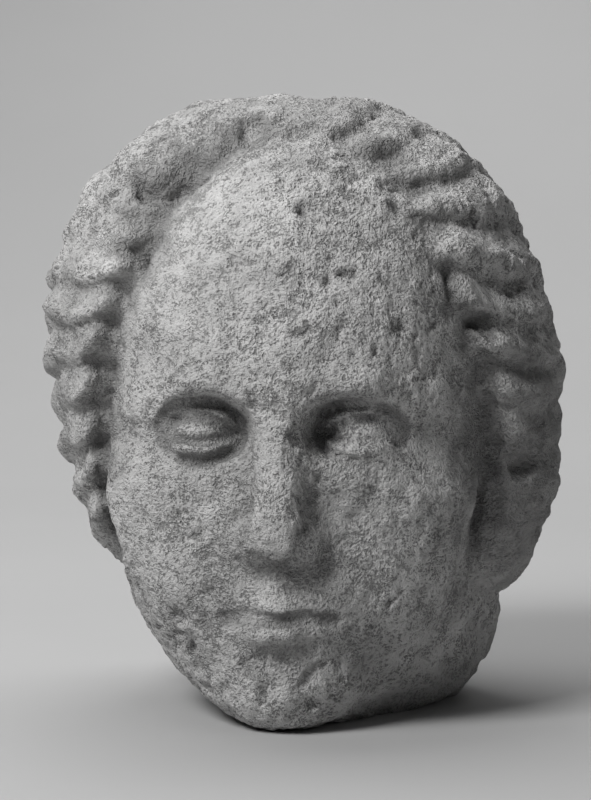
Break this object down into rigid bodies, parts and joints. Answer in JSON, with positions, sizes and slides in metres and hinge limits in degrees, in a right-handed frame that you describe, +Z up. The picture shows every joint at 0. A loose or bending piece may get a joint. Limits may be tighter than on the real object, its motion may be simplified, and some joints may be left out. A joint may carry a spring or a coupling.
{
  "type": "carved stone head",
  "caption": "Life-size carved stone head with thick swept-back wavy locks, worn and pitted, broken off flat through the neck so that it stands upright.",
  "frame": {"origin": "middle of the bounding box, at the level of the flat underside", "axes": "+Z up through the crown, -Y the way the face looks, +X towards the head's own left ear"},
  "size_m": [0.225, 0.2299, 0.2602],
  "materials": {
    "stone": "coarse, weathered and pitted"
  },
  "bodies": {
    "root": {"head": "stone"}
  },
  "joints": []
}
